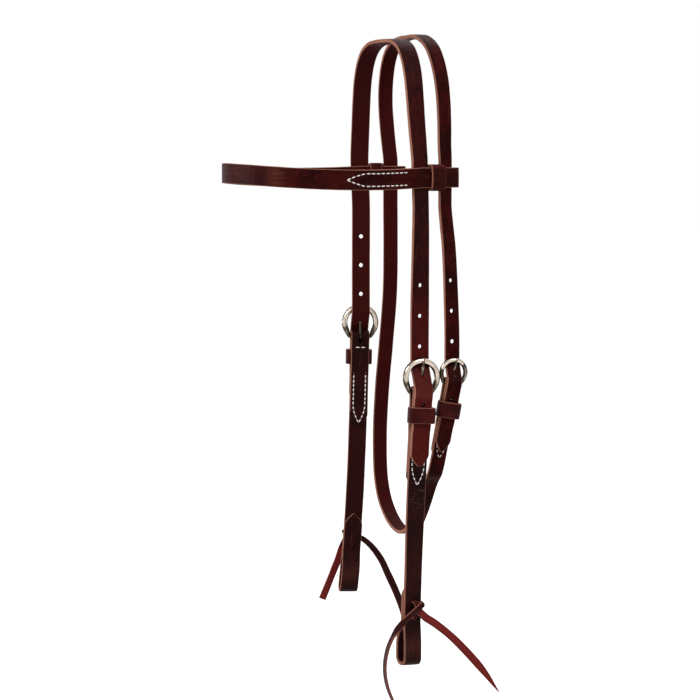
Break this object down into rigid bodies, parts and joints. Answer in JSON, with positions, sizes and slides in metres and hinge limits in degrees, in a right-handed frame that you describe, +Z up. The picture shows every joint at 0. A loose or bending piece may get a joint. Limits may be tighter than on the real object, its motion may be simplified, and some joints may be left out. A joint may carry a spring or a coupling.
{
  "type": "western headstall",
  "caption": "Leather headstall hung by its poll: crown strap, looped browband, buckled cheek pieces with tied bit loops, and a throat latch that buckles on the near side",
  "frame": {"origin": "the underside of the crown strap where it rests on the poll", "axes": "+X towards the near side across the head, -Y towards the browband at the front, +Z up"},
  "size_m": [0.1784, 0.2127, 0.5585],
  "materials": {
    "strap_leather": "oiled dark mahogany bridle leather, tan cut edges",
    "loop_leather": "oiled dark mahogany leather, thinner",
    "lace_leather": "red-brown latigo lace, matt",
    "nickel": "polished nickel, slightly warm"
  },
  "bodies": {
    "crown": {"crown_strap": "strap_leather"},
    "throat_latch": {"throat_latch_strap": "strap_leather", "throat_keeper": "loop_leather"},
    "throat_ring": {"throat_buckle_frame": "nickel"},
    "throat_tongue": {"throat_buckle_tongue": "nickel"},
    "browband": {"browband": "strap_leather"},
    "band_keeper_near": {"browband_keeper_near": "loop_leather"},
    "band_keeper_far": {"browband_keeper_far": "loop_leather"},
    "cheek_near": {"cheek_piece_near": "strap_leather", "cheek_keeper_near": "loop_leather", "bit_tie_near": "lace_leather", "tie_end_near_front": "lace_leather", "tie_end_near_rear": "lace_leather"},
    "cheek_far": {"cheek_piece_far": "strap_leather", "cheek_keeper_far": "loop_leather", "bit_tie_far": "lace_leather", "tie_end_far_front": "lace_leather", "tie_end_far_rear": "lace_leather"},
    "ring_near": {"cheek_buckle_near_frame": "nickel"},
    "ring_far": {"cheek_buckle_far_frame": "nickel"},
    "tongue_near": {"cheek_buckle_near_tongue": "nickel"},
    "tongue_far": {"cheek_buckle_far_tongue": "nickel"}
  },
  "joints": [
    {"name": "throat_latch_lift", "type": "slide", "parent": "crown", "child": "throat_latch", "axis": [0, 0, 1], "range_m": [0, 0.01]},
    {"name": "browband_slide", "type": "slide", "parent": "crown", "child": "browband", "axis": [0, 0, 1], "range_m": [-0.005, 0.005]},
    {"name": "band_keeper_near_slide", "type": "slide", "parent": "browband", "child": "band_keeper_near", "axis": [-0.309, 0.9511, 0], "range_m": [-0.0004, 0.0004]},
    {"name": "band_keeper_far_slide", "type": "slide", "parent": "browband", "child": "band_keeper_far", "axis": [0.309, 0.9511, 0], "range_m": [-0.0004, 0.0004]},
    {"name": "cheek_near_swing", "type": "hinge", "parent": "crown", "child": "cheek_near", "pos_m": [0.07502, 0.00008, -0.27661], "axis": [1, 0, 0], "range_deg": [-1.5, 1.5]},
    {"name": "cheek_far_swing", "type": "hinge", "parent": "crown", "child": "cheek_far", "pos_m": [-0.075, 0.00013, -0.2406], "axis": [-0.9781, 0.2079, 0], "range_deg": [-1.5, 1.5]},
    {"name": "ring_near_turn", "type": "hinge", "parent": "cheek_near", "child": "ring_near", "pos_m": [0.0745, -0.00071, -0.29035], "axis": [0, 0.9983, -0.0576], "range_deg": [0, 1.5]},
    {"name": "ring_far_turn", "type": "hinge", "parent": "cheek_far", "child": "ring_far", "pos_m": [-0.07455, -0.00021, -0.25437], "axis": [-0.2079, -0.978, 0.0174], "range_deg": [0, 1.5]},
    {"name": "throat_ring_turn", "type": "hinge", "parent": "throat_latch", "child": "throat_ring", "pos_m": [0.07279, 0.02749, -0.28389], "axis": [0.0344, 0.9857, -0.1651], "range_deg": [0, 1.5]},
    {"name": "tongue_near_turn", "type": "hinge", "parent": "ring_near", "child": "tongue_near", "pos_m": [0.0745, -0.00071, -0.29035], "axis": [0, 0.9983, -0.0576], "range_deg": [0, 2]},
    {"name": "tongue_far_turn", "type": "hinge", "parent": "ring_far", "child": "tongue_far", "pos_m": [-0.07455, -0.00021, -0.25437], "axis": [-0.2079, -0.978, 0.0174], "range_deg": [0, 2]},
    {"name": "throat_tongue_turn", "type": "hinge", "parent": "throat_ring", "child": "throat_tongue", "pos_m": [0.07279, 0.02749, -0.28389], "axis": [0.0344, 0.9857, -0.1651], "range_deg": [0, 2]}
  ]
}
